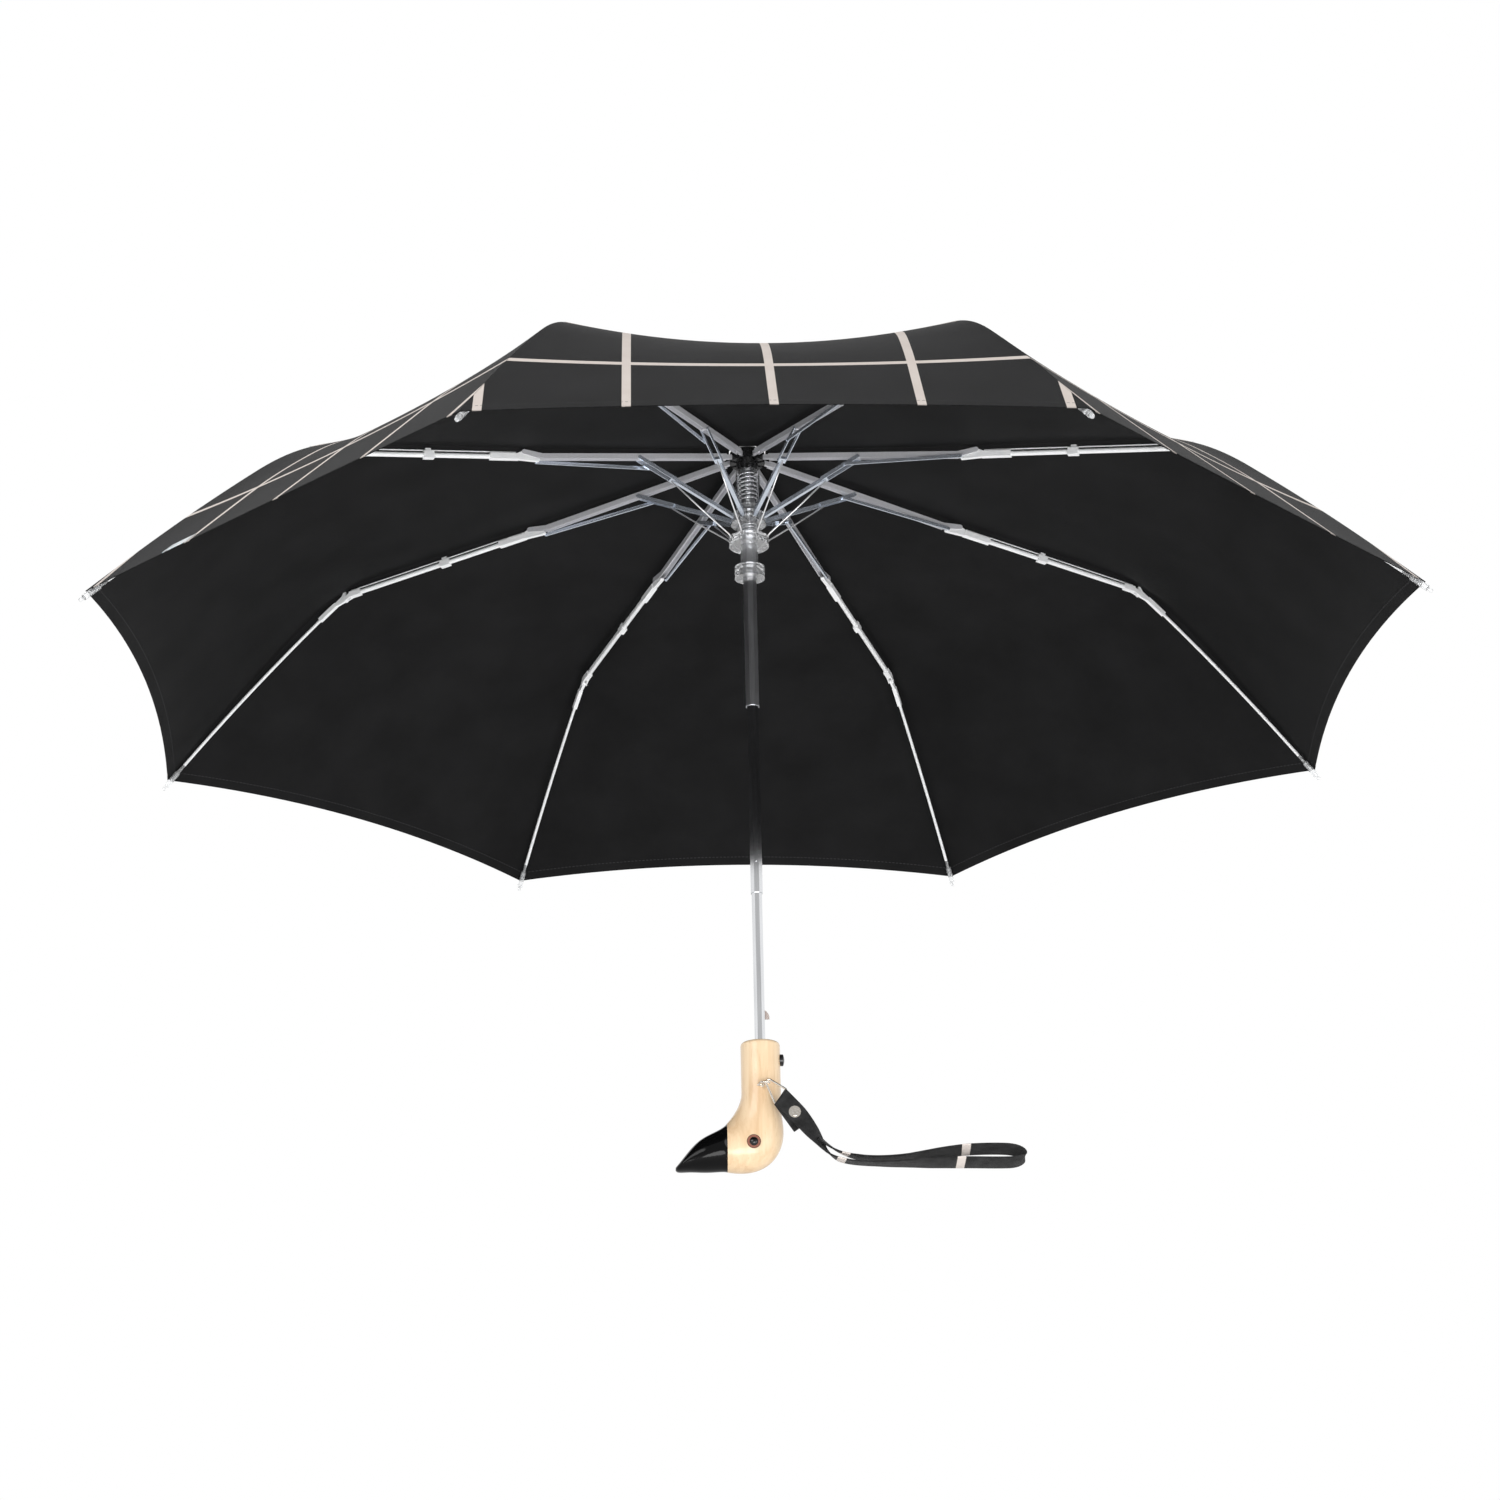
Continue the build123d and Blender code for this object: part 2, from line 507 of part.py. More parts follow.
def strap():
    """The doubled end is folded round the ring's bar. The loop's two passes lie one above the other."""
    foot = STRAP_ROUTE[0]
    dx, dz = foot[0] - BAR_MIDDLE[0], foot[1] - BAR_MIDDLE[1]
    across = (-dz / hypot(dx, dz), dx / hypot(dx, dz))
    bar = slope_of(BAR_FOOT, BAR_TOP)
    outline = [along(BAR_MIDDLE, bar, STRAP_W / 2),
               (foot[0] + across[0] * 2 + 3, foot[1] + across[1] * 2 + 4),
               (foot[0] - across[0] * 2, foot[1] - across[1] * 2),
               along(BAR_MIDDLE, bar, -STRAP_W / 2)]
    face = Plane.XZ * make_face(Polyline(*outline, close=True).edges())
    doubled = Pos(0, STRAP_Y, 0) * extrude(face, STRAP_T, both=True)
    direction = Vector(outline[0][0] - outline[3][0], 0, outline[0][1] - outline[3][1])
    fold = Plane(origin=(outline[3][0], STRAP_Y, outline[3][1]), z_dir=direction) * extrude(
        Circle(FOLD_R), STRAP_W)
    doubled = doubled + fold - ring_wire(RING_WIRE_R + FOLD_GAP)
    line = [(x, 0, z) for x, z in STRAP_ROUTE]
    path = FilletPolyline(*line, radius=corner_radii(line))
    section_plane = Plane(origin=path @ 0, x_dir=(0, 1, 0), z_dir=path % 0)
    loop = sweep(section_plane * Rectangle(STRAP_W, STRAP_T), path=path)
    swing = Pos(foot[0], STRAP_Y, 0) * Rot(0, 0, STRAP_TURN) * Pos(-foot[0], 0, 0)
    return [doubled + swing * loop]


def strap_snap():
    at = (22.2, STRAP_Y - STRAP_T, 38.0)
    return [Plane(origin=at, z_dir=(0, -1, 0)) * (extrude(Circle(4.2), 0.8) + extrude(Circle(3), 1.3))]


# ---- canopy ----
def canopy():
    """An eight-sided shell on the ribs, with the corners over them and a hole at the crown."""
    hub = (14.8, CROWN_Z + 4.5)
    over_b = along(PIN_B, MAIN_SLOPE, 0, 2.9)
    over_c = along(along(MIDDLE_FOOT, MIDDLE_SLOPE, MIDDLE_LENGTH), (MIDDLE_SLOPE + TIP_SLOPE) / 2, 0, 6.4)
    chord_slope = slope_of(PIN_C, HEM)
    over_tip = along(PIN_C, chord_slope, TIP_CHORD / 2, TIP_SAGITTA + 4.2)
    over_hem = along(HEM, chord_slope - TIP_HALF_TURN, 0, 2.6)
    inner = [over_hem, over_tip, over_c, over_b, hub]
    below = along(over_hem, slope_of(over_hem, over_tip), -2)
    lean = [chord_slope, chord_slope, (chord_slope + MIDDLE_SLOPE) / 2, MAIN_SLOPE, MAIN_SLOPE / 2]
    outer = [along(point, slope, 0, CANOPY_T) for point, slope in zip(inner, lean)]
    outer[0] = (inner[0][0] + CANOPY_T / sin(radians(-chord_slope)), inner[0][1])

    def shell(points):
        return loft([Pos(0, 0, z) * RegularPolygon(r, 8, rotation=RIB_AZIMUTH) for r, z in points], ruled=True)

    body = shell(outer) - shell([below] + inner[1:])
    body -= Pos(0, 0, CROWN_Z) * Cylinder(5.4, 40)
    return [body]


NODES = {
    "handle": handle, "beak": beak, "eyes": eyes, "push_button": push_button,
    "shaft_latch": shaft_latch, "strap_staple": strap_staple, "strap_ring": strap_ring,
    "strap": strap, "strap_snap": strap_snap, "lower_tube": lower_tube,
    "middle_tube": middle_tube, "drive_spring": drive_spring, "top_tube": top_tube,
    "crown": crown, "canopy": canopy, "runner": runner, "runner_spring": runner_spring,
    "lower_ring": lower_ring, "lower_spring": lower_spring, "brace_wires": brace_wires,
}
RIB_NODES = {
    "main_rib": main_rib, "stretcher": stretcher, "tie_bar": tie_bar,
    "middle_rib": middle_rib, "tip_rib": tip_rib,
}


def write(name, solids):
    parts = [solid for shape in solids for solid in shape.solids()]
    export_step(parts[0] if len(parts) == 1 else Compound(children=parts), f"parts/{name}.step")


os.makedirs("parts", exist_ok=True)
for name, make in NODES.items():
    write(name, make())
for name, make in RIB_NODES.items():
    solids = make()
    for k in range(RIBS):
        write(f"{name}_{k + 1}", around(solids, k))

strap_line = [(x, 0, z) for x, z in STRAP_ROUTE]
print("strap radii", [round(r, 1) for r in corner_radii(strap_line)])
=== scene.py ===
import json
from math import cos, pi, radians, sin

import bpy
import numpy as np
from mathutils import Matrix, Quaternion, Vector


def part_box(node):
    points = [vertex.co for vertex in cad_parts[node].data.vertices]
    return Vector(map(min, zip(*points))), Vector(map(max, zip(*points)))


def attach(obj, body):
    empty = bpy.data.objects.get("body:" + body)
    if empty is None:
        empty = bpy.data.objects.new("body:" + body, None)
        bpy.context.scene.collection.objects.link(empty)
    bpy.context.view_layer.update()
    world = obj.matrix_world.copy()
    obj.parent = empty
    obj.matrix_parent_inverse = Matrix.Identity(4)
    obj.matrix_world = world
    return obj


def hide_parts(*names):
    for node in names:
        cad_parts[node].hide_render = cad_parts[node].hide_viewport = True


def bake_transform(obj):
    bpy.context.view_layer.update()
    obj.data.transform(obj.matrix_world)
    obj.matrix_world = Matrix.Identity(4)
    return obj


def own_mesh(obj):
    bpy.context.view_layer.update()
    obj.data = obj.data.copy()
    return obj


# Compact automatic umbrella, open. Row frame: metres, +Z up the shaft, -Y towards the camera.
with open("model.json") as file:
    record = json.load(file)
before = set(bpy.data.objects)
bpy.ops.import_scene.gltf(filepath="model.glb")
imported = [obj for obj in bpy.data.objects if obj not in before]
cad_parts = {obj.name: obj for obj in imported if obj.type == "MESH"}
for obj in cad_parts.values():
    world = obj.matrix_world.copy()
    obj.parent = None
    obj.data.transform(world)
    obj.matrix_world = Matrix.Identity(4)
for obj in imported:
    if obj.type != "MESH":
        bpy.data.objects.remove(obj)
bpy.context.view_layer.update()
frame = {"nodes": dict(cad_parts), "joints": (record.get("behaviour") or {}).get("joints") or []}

MM = 0.001
RIBS = 8
GORE = 2 * pi / RIBS
RIB_ONE = GORE / 2                  # the first rib's azimuth from +X
scene = bpy.context.scene
joint_at = {joint["name"]: Vector(joint["pos_m"]) for joint in frame["joints"] if "pos_m" in joint}

# ---- camera, light and floor ----
CAMERA_AT = (-0.0814, -2.1162, -0.4693)
CAMERA_AIM = (0.0349, 0.9373, 0.3466)
CAMERA_ROLL = -1.24
CAMERA_LENS = 74.3
FLOOR_Z = -0.62
FLOOR_HALF = 6.0


def add_camera():
    data = bpy.data.cameras.new("camera")
    data.sensor_width = 36
    data.lens = CAMERA_LENS
    data.clip_end = 50
    camera = bpy.data.objects.new("camera", data)
    scene.collection.objects.link(camera)
    camera.location = CAMERA_AT
    camera.rotation_mode = "QUATERNION"
    aim = Vector(CAMERA_AIM).to_track_quat("-Z", "Y")
    camera.rotation_quaternion = aim @ Quaternion((0, 0, 1), radians(CAMERA_ROLL))
    scene.camera = camera


def add_light(name, at, target, size, power):
    data = bpy.data.lights.new(name, "AREA")
    data.shape = "DISK"
    data.size = size
    data.energy = power
    light = bpy.data.objects.new(name, data)
    scene.collection.objects.link(light)
    light.location = at
    light.rotation_mode = "QUATERNION"
    light.rotation_quaternion = (Vector(target) - Vector(at)).to_track_quat("-Z", "Y")


def add_world(front, back):
    """A white backdrop behind the object, and a dimmer room on the camera's side."""
    world = bpy.data.worlds.new("studio")
    world.use_nodes = True
    tree = world.node_tree
    direction = tree.nodes.new("ShaderNodeTexCoord").outputs["Generated"]
    split = tree.nodes.new("ShaderNodeSeparateXYZ")
    tree.links.new(direction, split.inputs[0])
    level = tree.nodes.new("ShaderNodeMapRange")
    tree.links.new(split.outputs["Y"], level.inputs["Value"])
    for socket, value in (("From Min", -0.6), ("From Max", 0.2), ("To Min", front), ("To Max", back)):
        level.inputs[socket].default_value = value
    tree.links.new(level.outputs[0], tree.nodes["Background"].inputs["Strength"])
    tree.nodes["Background"].inputs["Color"].default_value = (1, 1, 1, 1)
    scene.world = world


# ---- materials ----
def material(name, **values):
    """A new material whose Principled sockets take the given values, with _ for a space in a name."""
    made = bpy.data.materials.new(name)
    made.use_nodes = True
    shader = made.node_tree.nodes["Principled BSDF"]
    for socket, value in values.items():
        shader.inputs[socket.replace("_", " ")].default_value = value
    return made


class Nodes:
    """Short calls that add nodes to one material."""

    def __init__(self, made):
        self.tree = made.node_tree
        self.shader = self.tree.nodes["Principled BSDF"]

    def add(self, kind, *inputs, **settings):
        node = self.tree.nodes.new(kind)
        for key, value in settings.items():
            setattr(node, key, value)
        for index, value in enumerate(inputs):
            self.feed(node.inputs[index], value)
        return node

    def feed(self, socket, value):
        if isinstance(value, bpy.types.NodeSocket):
            self.tree.links.new(value, socket)
        elif value is not None:
            socket.default_value = value

    def math(self, operation, *inputs, clamp=False):
        return self.add("ShaderNodeMath", *inputs, operation=operation, use_clamp=clamp).outputs[0]

    def position(self, stretch=(1, 1, 1)):
        """Object coordinates, which are the row frame at rest, stretched along each axis."""
        source = self.add("ShaderNodeTexCoord").outputs["Object"]
        return self.add("ShaderNodeMapping", source, None, None, stretch).outputs[0]

    def uv(self, layer):
        source = self.add("ShaderNodeUVMap", uv_map=layer).outputs[0]
        return self.add("ShaderNodeSeparateXYZ", source).outputs

    def noise(self, vector, scale, detail=2.0, roughness=0.5):
        node = self.add("ShaderNodeTexNoise")
        wanted = {"Vector": vector, "Scale": scale, "Detail": detail, "Roughness": roughness}
        for key, value in wanted.items():
            self.feed(node.inputs[key], value)
        return node.outputs["Fac"]

    def ramp(self, factor, stops):
        node = self.add("ShaderNodeValToRGB", factor)
        elements = node.color_ramp.elements
        while len(elements) < len(stops):
            elements.new(0.5)
        for element, (at, colour) in zip(elements, stops):
            element.position = at
            element.color = (*colour, 1)
        return node.outputs[0]

    def mix(self, factor, low, high):
        node = self.add("ShaderNodeMix", data_type="RGBA")
        for socket, value in ((node.inputs[0], factor), (node.inputs[6], low), (node.inputs[7], high)):
            if isinstance(value, tuple):
                value = (*value, 1)
            self.feed(socket, value)
        return node.outputs[2]

    def scaled(self, factor, low, high):
        node = self.add("ShaderNodeMapRange", factor)
        node.inputs["To Min"].default_value = low
        node.inputs["To Max"].default_value = high
        return node.outputs[0]

    def bump(self, height, distance, strength=1.0):
        node = self.add("ShaderNodeBump")
        node.inputs["Strength"].default_value = strength
        node.inputs["Distance"].default_value = distance
        self.feed(node.inputs["Height"], height)
        self.set("Normal", node.outputs[0])

    def set(self, socket, value):
        self.feed(self.shader.inputs[socket], value)


def metal(name, dark, light, low, high, stretch=(1, 1, 1), scale=900, metallic=1.0):
    """A metal whose colour and roughness vary in fine streaks."""
    made = material(name, Metallic=metallic)
    n = Nodes(made)
    streaks = n.noise(n.position(stretch), scale, 3, 0.6)
    n.set("Base Color", n.ramp(streaks, [(0.3, dark), (0.7, light)]))
    n.set("Roughness", n.scaled(streaks, low, high))
    n.bump(streaks, 0.00001, 0.1)
    return made


def plastic(name, dark, light, low, high, **values):
    """A moulded plastic with a faint orange-peel surface."""
    made = material(name, **values)
    n = Nodes(made)
    cloud = n.noise(n.position(), 140, 2)
    n.set("Base Color", n.ramp(cloud, [(0.3, dark), (0.7, light)]))
    n.set("Roughness", n.scaled(n.noise(n.position(), 600, 3), low, high))
    n.bump(n.noise(n.position(), 900, 2), 0.00003, 0.5)
    return made


def wood():
    """Pale maple under gloss lacquer, with its grain along the neck."""
    made = material("maple", Coat_Weight=0.5, Coat_Roughness=0.1, Specular_IOR_Level=0.3)
    n = Nodes(made)
    grain = n.position((1, 1, 0.09))
    warp = n.noise(n.position(), 26, 2)
    rings = n.add("ShaderNodeTexNoise")
    wanted = {"Vector": grain, "Scale": 150.0, "Detail": 5.0, "Roughness": 0.62, "Distortion": 0.6}
    for key, value in wanted.items():
        n.feed(rings.inputs[key], value)
    fibre = n.noise(grain, 700, 3, 0.7)
    tone = n.math("ADD", n.math("MULTIPLY", rings.outputs["Fac"], 0.6), n.math("MULTIPLY", warp, 0.4))
    stops = [(0.36, (0.66, 0.455, 0.27)), (0.5, (0.755, 0.56, 0.355)), (0.64, (0.80, 0.625, 0.42))]
    base = n.ramp(tone, stops)
    flecks = n.math("MULTIPLY", n.math("GREATER_THAN", fibre, 0.62), 0.22)
    n.set("Base Color", n.mix(flecks, base, (0.52, 0.32, 0.16)))
    n.set("Roughness", n.scaled(fibre, 0.28, 0.42))
    n.bump(fibre, 0.00004, 0.35)
    return made


def lacquer():
    made = material("black_lacquer", Specular_IOR_Level=0.12, Coat_Weight=0.10, Coat_Roughness=0.02)
    n = Nodes(made)
    dust = n.noise(n.position(), 70, 3)
    n.set("Base Color", n.ramp(dust, [(0.3, (0.0015, 0.0015, 0.0015)), (0.7, (0.003, 0.003, 0.0032))]))
    n.set("Roughness", n.scaled(dust, 0.06, 0.14))
    n.bump(n.noise(n.position(), 60, 2), 0.0002, 0.12)
    return made


PUPIL_R = 3.05 * MM
IRIS_R = 4.55 * MM                  # a dark rim lies beyond this


def eye():
    """A maroon iris ring round a black pupil, told apart by the distance from the eye's centre."""
    made = material("eye_enamel", Coat_Weight=0.5, Coat_Roughness=0.03, Roughness=0.18,
                    Specular_IOR_Level=0.25)
    n = Nodes(made)
    x, _, z = n.add("ShaderNodeSeparateXYZ", n.position()).outputs
    low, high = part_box("eyes")
    centre = (low + high) / 2
    dx = n.math("SUBTRACT", x, centre.x)
    dz = n.math("SUBTRACT", z, centre.z)
    radius = n.math("SQRT", n.math("ADD", n.math("MULTIPLY", dx, dx), n.math("MULTIPLY", dz, dz)))
    cloud = n.noise(n.position(), 700, 3)
    iris = n.ramp(cloud, [(0.3, (0.20, 0.075, 0.05)), (0.7, (0.28, 0.115, 0.08))])
    pupil = n.math("LESS_THAN", radius, PUPIL_R)
    rim = n.math("GREATER_THAN", radius, IRIS_R)
    shaded = n.mix(rim, iris, (0.03, 0.012, 0.01))
    n.set("Base Color", n.mix(pupil, shaded, (0.004, 0.004, 0.004)))
    return made


CREAM = (0.70, 0.635, 0.59)
GRID_U = 89 * MM                    # printed lines along the gore's centre line and beside it
GRID_V = 107 * MM                   # printed lines parallel to the hem
FIRST_V = 91 * MM
LINE_W = 5.6 * MM
HEM_W = 9 * MM
SEAM_W = 4 * MM
PUCKER_W = 50 * MM                  # the cloth puckers within this distance of the hem
STITCH = 3.2 * MM                   # the hem thread's pitch


def grid_mask(n, u, v):
    """1 on the printed lines of one gore."""
    half = LINE_W / 2
    from_line = n.math("PINGPONG", n.math("ABSOLUTE", u), GRID_U)
    near_even = n.math("LESS_THAN", from_line, half)
    near_odd = n.math("GREATER_THAN", from_line, GRID_U - half)
    shifted = n.math("ABSOLUTE", n.math("SUBTRACT", v, FIRST_V))
    along = n.math("PINGPONG", shifted, GRID_V)
    row_even = n.math("LESS_THAN", along, half)
    row_odd = n.math("GREATER_THAN", along, GRID_V - half)
    rows = n.math("MULTIPLY", n.math("MAXIMUM", row_even, row_odd), n.math("GREATER_THAN", v, FIRST_V / 2))
    return n.math("MAXIMUM", n.math("MAXIMUM", near_even, near_odd), rows)


def weave(n, u, v, pitch):
    """Height of a plain weave whose threads are `pitch` apart."""
    warp = n.math("SINE", n.math("MULTIPLY", u, 2 * pi / pitch))
    weft = n.math("SINE", n.math("MULTIPLY", v, 2 * pi / pitch))
    return n.math("MULTIPLY", warp, weft)


def canopy_cloth(name, black_low, black_high, printed_outside, gloss, sheen):
    """Satin-finish polyester with its grid printed on the outside only."""
    made = material(name, Roughness=0.55, Sheen_Weight=sheen, Sheen_Roughness=0.4, Specular_IOR_Level=gloss)
    n = Nodes(made)
    u, v, _ = n.uv("gore")
    edge, seam, _ = n.uv("edge")
    cloud = n.noise(n.position(), 22, 4)
    cloth = n.ramp(cloud, [(0.3, black_low), (0.7, black_high)])
    if printed_outside:
        tint = n.noise(n.position(), 60, 2)
        cream = n.ramp(tint, [(0.3, (0.66, 0.59, 0.545)), (0.7, CREAM)])
        cloth = n.mix(grid_mask(n, u, v), cloth, cream)
    dash = n.math("GREATER_THAN", n.math("SINE", n.math("MULTIPLY", u, 2 * pi / STITCH)), -0.2)
    thread = n.math("MULTIPLY", n.math("COMPARE", edge, HEM_W - 1.2 * MM, 0.28 * MM), dash)
    n.set("Base Color", n.mix(thread, cloth, (0.045, 0.045, 0.047)))
    fold = n.math("MAXIMUM", n.math("LESS_THAN", edge, HEM_W), n.math("LESS_THAN", seam, SEAM_W))
    fine = n.math("MULTIPLY", weave(n, u, v, 0.6 * MM), 0.12)
    soft = n.math("MULTIPLY", n.noise(n.position(), 38, 3), 1.1)
    near_hem = n.scaled(n.math("DIVIDE", edge, PUCKER_W), 0.5, 0.0)
    pucker = n.math("MULTIPLY", n.noise(n.position(), 160, 2), near_hem)
    height = n.math("ADD", n.math("MULTIPLY", fold, 0.5), n.math("ADD", fine, pucker))
    height = n.math("ADD", height, n.math("ADD", soft, n.math("MULTIPLY", thread, 0.4)))
    n.bump(height, 0.0004, 0.6)
    return made


def woven_label():
    """White hem label with plain pale stripes across it."""
    made = material("label_satin", Roughness=0.4, Sheen_Weight=0.1)
    n = Nodes(made)
    u, v, _ = n.uv("label")
    bands = n.noise(n.add("ShaderNodeCombineXYZ", u, 0.0, 0.0).outputs[0], 160, 0)
    tone = n.ramp(bands, [(0.42, (0.80, 0.81, 0.82)), (0.5, (0.45, 0.66, 0.72)), (0.56, (0.80, 0.81, 0.82)),
                          (0.66, (0.42, 0.43, 0.45))])
    n.set("Base Color", tone)
    n.bump(weave(n, u, v, 0.4 * MM), 0.0002, 0.4)
    return made


def webbing(stripes):
    """Black woven strap with a pale bar printed at each of the given lengths along it."""
    made = material("webbing", Roughness=0.62, Sheen_Weight=0.06, Sheen_Roughness=0.45,
                    Specular_IOR_Level=0.2)
    n = Nodes(made)
    u, v, _ = n.uv("strap")
    printed = n.math("COMPARE", v, stripes[0], STRIPE_HALF_W)
    for at in stripes[1:]:
        printed = n.math("MAXIMUM", printed, n.math("COMPARE", v, at, STRIPE_HALF_W))
    twill = n.math("SINE", n.math("MULTIPLY", n.math("ADD", u, v), 2 * pi / (0.9 * MM)))
    cloud = n.noise(n.position(), 130, 4, 0.65)
    black = n.ramp(cloud, [(0.35, (0.008, 0.008, 0.008)), (0.7, (0.028, 0.028, 0.029))])
    n.set("Base Color", n.mix(printed, black, CREAM))
    height = n.math("ADD", n.math("MULTIPLY", twill, 0.4), n.math("MULTIPLY", cloud, 0.8))
    n.bump(height, 0.0004, 0.6)
    return made


# ---- mesh helpers ----
def mesh_object(name, points, faces, normals=None):
    mesh = bpy.data.meshes.new(name)
    mesh.from_pydata([tuple(p) for p in points], [], [tuple(f) for f in faces])
    mesh.polygons.foreach_set("use_smooth", np.ones(len(mesh.polygons), bool))
    if normals is not None:
        mesh.normals_split_custom_set_from_vertices([tuple(v) for v in normals])
    made = bpy.data.objects.new(name, mesh)
    scene.collection.objects.link(made)
    return made


def set_uv(made, layer, values):
    """values holds one (u, v) for each vertex."""
    mesh = made.data
    loops = np.empty(len(mesh.loops), np.int32)
    mesh.loops.foreach_get("vertex_index", loops)
    uv = mesh.uv_layers.new(name=layer)
    uv.data.foreach_set("uv", np.asarray(values, np.float32)[loops].ravel())


def grid_faces(rows, columns, offset, flip=False):
    """Quads of a grid whose vertices run along each row in turn."""
    faces = []
    for i in range(rows - 1):
        for j in range(columns - 1):
            a = offset + i * columns + j
            quad = (a, a + 1, a + columns + 1, a + columns)
            faces.append(quad[::-1] if flip else quad)
    return faces


def tube_points(line, radius, sides):
    """Rings of vertices round a line of points, kept from twisting."""
    line = [Vector(p) for p in line]
    tangents = [(b - a).normalized() for a, b in zip(line, line[1:])]
    tangents.append(tangents[-1])
    side = tangents[0].orthogonal().normalized()
    points = []
    for at, tangent in zip(line, tangents):
        side = (side - tangent * side.dot(tangent)).normalized()
        other = tangent.cross(side)
        for k in range(sides):
            a = 2 * pi * k / sides
            points.append(at + (side * cos(a) + other * sin(a)) * radius)
    return points


def tube(name, line, radius, sides=10):
    points = tube_points(line, radius, sides)
    faces = []
    for i in range(len(line) - 1):
        for k in range(sides):
            a, b = i * sides + k, i * sides + (k + 1) % sides
            faces.append((a, b, b + sides, a + sides))
    faces.append(tuple(range(sides))[::-1])
    faces.append(tuple(range(len(points) - sides, len(points))))
    return mesh_object(name, points, faces)


# ---- wrist strap ----
STRAP_W = 13 * MM
STRAP_T = 1.3 * MM
STRAP_TURN = radians(4.0)
STRAP_FOOT_X = 43.2                 # the loop turns back beyond this, in millimetres
RING_WIRE_R = 0.7 * MM
# The webbing's line, as (x, z) in the ring's plane and how far it lies behind that plane, in
# millimetres: down from the ring's bar, out along the lower pass and back along the upper one.
STRAP_ROUTE = [
    (12.7, 49.0, 0), (12.7, 49.0, -1.45), (15.8, 45.7, -1.45), (26, 35.0, -0.6), (36.6, 20.6, 0),
    (44.4, 8.6, 0), (56, 2.8, 0), (82, 1.4, 0), (112, 2.4, 0), (140, 2.9, 0),
    (164, 2.6, 0), (177, 3.0, 0), (183.4, 7.2, 0), (176, 12.0, 0), (160, 12.6, 0),
    (137, 11.6, 0), (110, 8.6, 3), (84, 6.2, 5), (62, 7.4, 5), (46, 13.6, 3), (38.5, 20.5, 1.5),
]
BAR_WAY = (0.57, 0.0, 0.82)         # the direction of the ring's bar
# Which way the webbing's width points, at distances along it in millimetres.
STRAP_FACING = [
    (0, BAR_WAY), (17, (0.80, 0.05, 0.60)), (33, (0.72, 0.55, 0.50)),
    (49, (0.2, 0.96, 0.25)), (61, (0.0, 0.99, 0.02)), (87, (0.0, 0.99, -0.02)),
    (105, (0.0, 0.98, -0.15)), (125, (0.0, 0.93, -0.35)), (143, (0.0, 0.91, -0.41)),
    (235, (0.0, 0.91, -0.41)), (255, (0.0, 0.95, -0.30)), (275, (0.0, 0.99, -0.06)),
    (311, (0.0, 0.99, -0.02)), (328, (0.1, 0.98, 0.2)), (348, (0.3, 0.9, 0.3)),
]
STRIPE_X = (55, 139)                # where both passes carry a printed bar, in millimetres
STRIPE_HALF_W = 3 * MM
TAIL_SLANT = 0.17                   # how far the doubled end leans off the bar's square, as a share
TAIL_BEHIND = 1.55 * MM
TAIL_STEPS = 7
TAIL_STEP = 3.7 * MM


def strap_route():
    """The route in the row frame. The loop swings back a little from the ring's plane."""
    y0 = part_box("strap_ring")[0].y + RING_WIRE_R
    points = []
    for x, z, back in STRAP_ROUTE:
        reach = max(0.0, x - STRAP_FOOT_X)
        points.append(Vector(((x - reach + reach * cos(STRAP_TURN)) * MM,
                              y0 + (back + reach * sin(STRAP_TURN)) * MM, z * MM)))
    return points


def smooth_line(points, name):
    """Points along the NURBS curve of these control points."""
    data = bpy.data.curves.new(name, "CURVE")
    data.dimensions = "3D"
    data.resolution_u = 10
    spline = data.splines.new("NURBS")
    spline.points.add(len(points) - 1)
    for slot, at in zip(spline.points, points):
        slot.co = (*at, 1)
    spline.order_u = 3
    spline.use_endpoint_u = True
    curve = bpy.data.objects.new(name, data)
    scene.collection.objects.link(curve)
    bpy.context.view_layer.update()
    mesh = bpy.data.meshes.new_from_object(curve)
    line = [vertex.co.copy() for vertex in mesh.vertices]
    bpy.data.meshes.remove(mesh)
    bpy.data.objects.remove(curve)
    return line


def lengths_along(line):
    steps = [0.0] + [(b - a).length for a, b in zip(line, line[1:])]
    return np.cumsum(steps)


def ribbon(name, line, facing, width, thickness):
    """A flat band along a line. facing says which way its width points, by distance along it."""
    at = lengths_along(line)
    stops = [distance * MM for distance, _ in facing]
    vectors = np.array([direction for _, direction in facing])
    half, thin = width / 2, thickness / 2
    flat = half - thin
    profile = [(-half, -thin / 2), (-flat, -thin), (0, -thin), (flat, -thin), (half, -thin / 2),
               (half, thin / 2), (flat, thin), (0, thin), (-flat, thin), (-half, thin / 2)]
    points, coords = [], []
    for i, here in enumerate(line):
        tangent = (line[min(i + 1, len(line) - 1)] - line[max(i - 1, 0)]).normalized()
        width_dir = Vector([np.interp(at[i], stops, vectors[:, axis]) for axis in range(3)])
        width_dir = (width_dir - tangent * width_dir.dot(tangent)).normalized()
        normal = tangent.cross(width_dir).normalized()
        for across, up in profile:
            points.append(here + width_dir * across + normal * up)
            coords.append((across, at[i]))
    sides = len(profile)
    faces = []
    for i in range(len(line) - 1):
        for k in range(sides):
            a, b = i * sides + k, i * sides + (k + 1) % sides
            faces.append((a, b, b + sides, a + sides))
    faces.append(tuple(range(sides))[::-1])
    faces.append(tuple(range(len(points) - sides, len(points))))
    made = mesh_object(name, points, faces)
    set_uv(made, "strap", coords)
    return made


